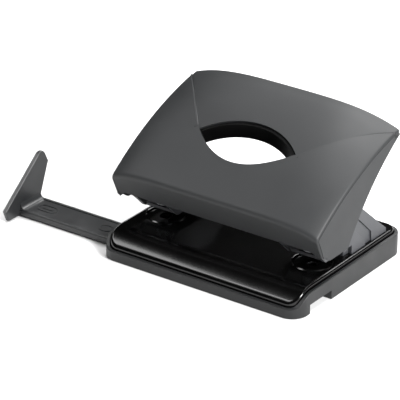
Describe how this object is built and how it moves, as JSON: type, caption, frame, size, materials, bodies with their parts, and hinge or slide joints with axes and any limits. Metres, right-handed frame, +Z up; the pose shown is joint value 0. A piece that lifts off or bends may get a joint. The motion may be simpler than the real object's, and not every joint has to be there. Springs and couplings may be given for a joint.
{
  "type": "hole punch",
  "caption": "Two-hole desk punch with a sprung lever handle, an eye-shaped opening in its top, a steel base plate on a chip tray, and a sliding paper guide.",
  "frame": {"origin": "centre of the chip tray's flat underside, on the desk", "axes": "+X along the row of holes to the right, with the paper guide pulled out to -X; +Y from the paper slot to the back; +Z up"},
  "size_m": [0.1661, 0.0864, 0.0705],
  "materials": {
    "tray_plastic": "fine matte moulded polypropylene",
    "plate_lacquer": "gloss black lacquer on pressed steel",
    "bracket_paint": "satin grey powder coat on folded steel",
    "lever_steel": "black phosphated steel",
    "steel": "bright machined steel",
    "spring_steel": "drawn spring wire and stamped clips",
    "handle_plastic": "satin grey moulded ABS",
    "collar_plastic": "black moulded plastic",
    "guide_plastic": "satin black moulded plastic"
  },
  "bodies": {
    "tray": {"chip_tray": "tray_plastic"},
    "frame": {"base_plate": "plate_lacquer", "bracket_rivets": "steel", "pivot_clips": "spring_steel", "left_bracket": "bracket_paint", "right_bracket": "bracket_paint", "left_die": "steel", "right_die": "steel", "left_guide_bush": "steel", "right_guide_bush": "steel", "left_pivot_pin": "steel", "right_pivot_pin": "steel", "left_return_spring": "spring_steel", "right_return_spring": "spring_steel"},
    "handle": {"handle_shell": "handle_plastic", "eye_collar": "collar_plastic", "lever_screws": "steel", "left_lever": "lever_steel", "right_lever": "lever_steel", "left_press_bar": "steel", "right_press_bar": "steel"},
    "left_punch": {"left_punch_pin": "steel", "left_spring_seat": "steel", "left_pin_clip": "spring_steel"},
    "right_punch": {"right_punch_pin": "steel", "right_spring_seat": "steel", "right_pin_clip": "spring_steel"},
    "guide": {"paper_guide": "guide_plastic"}
  },
  "joints": [
    {"name": "tray_release", "type": "slide", "parent": "tray", "child": "frame", "axis": [0, 0, 1], "range_m": [0, 0.025]},
    {"name": "handle_press", "type": "hinge", "parent": "frame", "child": "handle", "pos_m": [0, -0.0225, 0.0285], "axis": [-1, 0, 0], "range_deg": [0, 29], "stiffness_Nm_per_rad": 0.5, "springref_deg": -17.19},
    {"name": "left_pin_stroke", "type": "slide", "parent": "frame", "child": "left_punch", "axis": [0, 0, -1], "range_m": [0, 0.0063], "deforming": ["left_return_spring"]},
    {"name": "right_pin_stroke", "type": "slide", "parent": "frame", "child": "right_punch", "axis": [0, 0, -1], "range_m": [0, 0.0063], "deforming": ["right_return_spring"]},
    {"name": "guide_slide", "type": "slide", "parent": "tray", "child": "guide", "axis": [1, 0, 0], "range_m": [-0.04, 0.052]}
  ],
  "couplings": [
    {"joint": "left_pin_stroke", "follows": "handle_press", "m_per_rad": 0.01243},
    {"joint": "right_pin_stroke", "follows": "handle_press", "m_per_rad": 0.01243}
  ]
}
